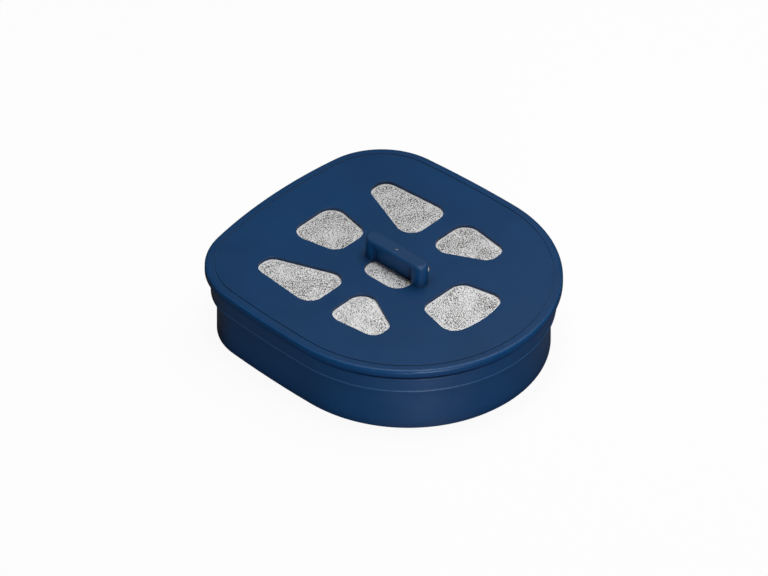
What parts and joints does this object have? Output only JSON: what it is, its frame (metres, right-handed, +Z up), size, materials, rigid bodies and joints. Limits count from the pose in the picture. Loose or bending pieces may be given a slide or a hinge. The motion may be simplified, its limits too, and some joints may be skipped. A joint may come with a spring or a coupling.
{
  "type": "water pitcher filter cartridge",
  "caption": "Flat water filter cartridge with a windowed lid over white fleece, a grip bar in the middle, a stepped cup and a slotted floor.",
  "frame": {"origin": "bottom centre of the bounding box, in the plane the cartridge stands on", "axes": "+Z up through the lid, +Y towards the straighter back edge, -Y towards the bowed front edge, +X across the plan, which is symmetric about the YZ plane"},
  "size_m": [0.11, 0.1216, 0.0382],
  "materials": {
    "navy_plastic": "satin",
    "white_fleece": "fibrous",
    "granules": "granular"
  },
  "bodies": {
    "root": {"top_cover": "navy_plastic", "housing_cup": "navy_plastic", "upper_fleece": "white_fleece", "filter_bed": "granules", "lower_fleece": "white_fleece"}
  },
  "joints": []
}
